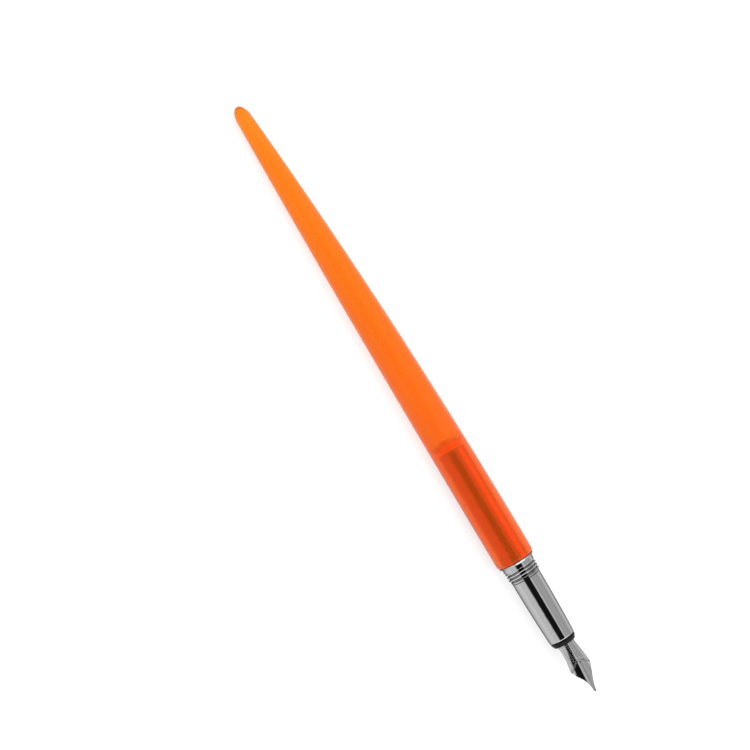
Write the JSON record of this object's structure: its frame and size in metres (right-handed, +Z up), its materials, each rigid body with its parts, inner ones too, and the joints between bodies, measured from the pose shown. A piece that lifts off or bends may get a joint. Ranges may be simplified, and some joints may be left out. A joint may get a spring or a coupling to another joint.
{
  "type": "dip pen",
  "caption": "Long tapered pen holder in frosted plastic, with a chrome screw-in grip that carries a steel nib, a finned feed and an ink cartridge.",
  "frame": {"origin": "middle of the pen's length, on the surface the pen lies on, under the axis of the front section", "axes": "+X along the pen from the tail to the writing point, +Z up out of the nib's convex face, +Y to the nib's left"},
  "size_m": [0.21, 0.0124, 0.0125],
  "materials": {
    "barrel_plastic": "frosted, slightly translucent",
    "plated_metal": "bright plated brass",
    "seal_rubber": "plain",
    "black_plastic": "glossy moulded",
    "nib_steel": "polished, lightly engraved",
    "tipping_metal": "ground pellet",
    "cartridge_plastic": "milky polyethylene",
    "ink": "dark blue liquid"
  },
  "bodies": {
    "barrel": {"barrel": "barrel_plastic", "collar": "plated_metal", "cartridge_tube": "plated_metal"},
    "seal": {"seal_ring": "seal_rubber"},
    "section": {"grip": "plated_metal", "nib_housing": "black_plastic"},
    "nib_unit": {"nib": "nib_steel", "tipping_left": "tipping_metal", "tipping_right": "tipping_metal", "feed": "black_plastic"},
    "cartridge": {"cartridge_shell": "cartridge_plastic", "cartridge_ball": "cartridge_plastic", "ink": "ink"}
  },
  "joints": [
    {"name": "screw_lead", "type": "slide", "parent": "barrel", "child": "seal", "axis": [1, 0, 0], "range_m": [0, 0.005]},
    {"name": "section_unscrew", "type": "hinge", "parent": "seal", "child": "section", "pos_m": [0.0636, 0, 0.00625], "axis": [1, 0, 0], "range_deg": [0, 1801]},
    {"name": "nib_pull", "type": "slide", "parent": "section", "child": "nib_unit", "axis": [1, 0, 0], "range_m": [0, 0.01]},
    {"name": "cartridge_pull", "type": "slide", "parent": "section", "child": "cartridge", "axis": [-1, 0, 0], "range_m": [0, 0.005]}
  ],
  "couplings": [
    {"joint": "section_unscrew", "follows": "screw_lead", "rad_per_m": 6283.2}
  ]
}
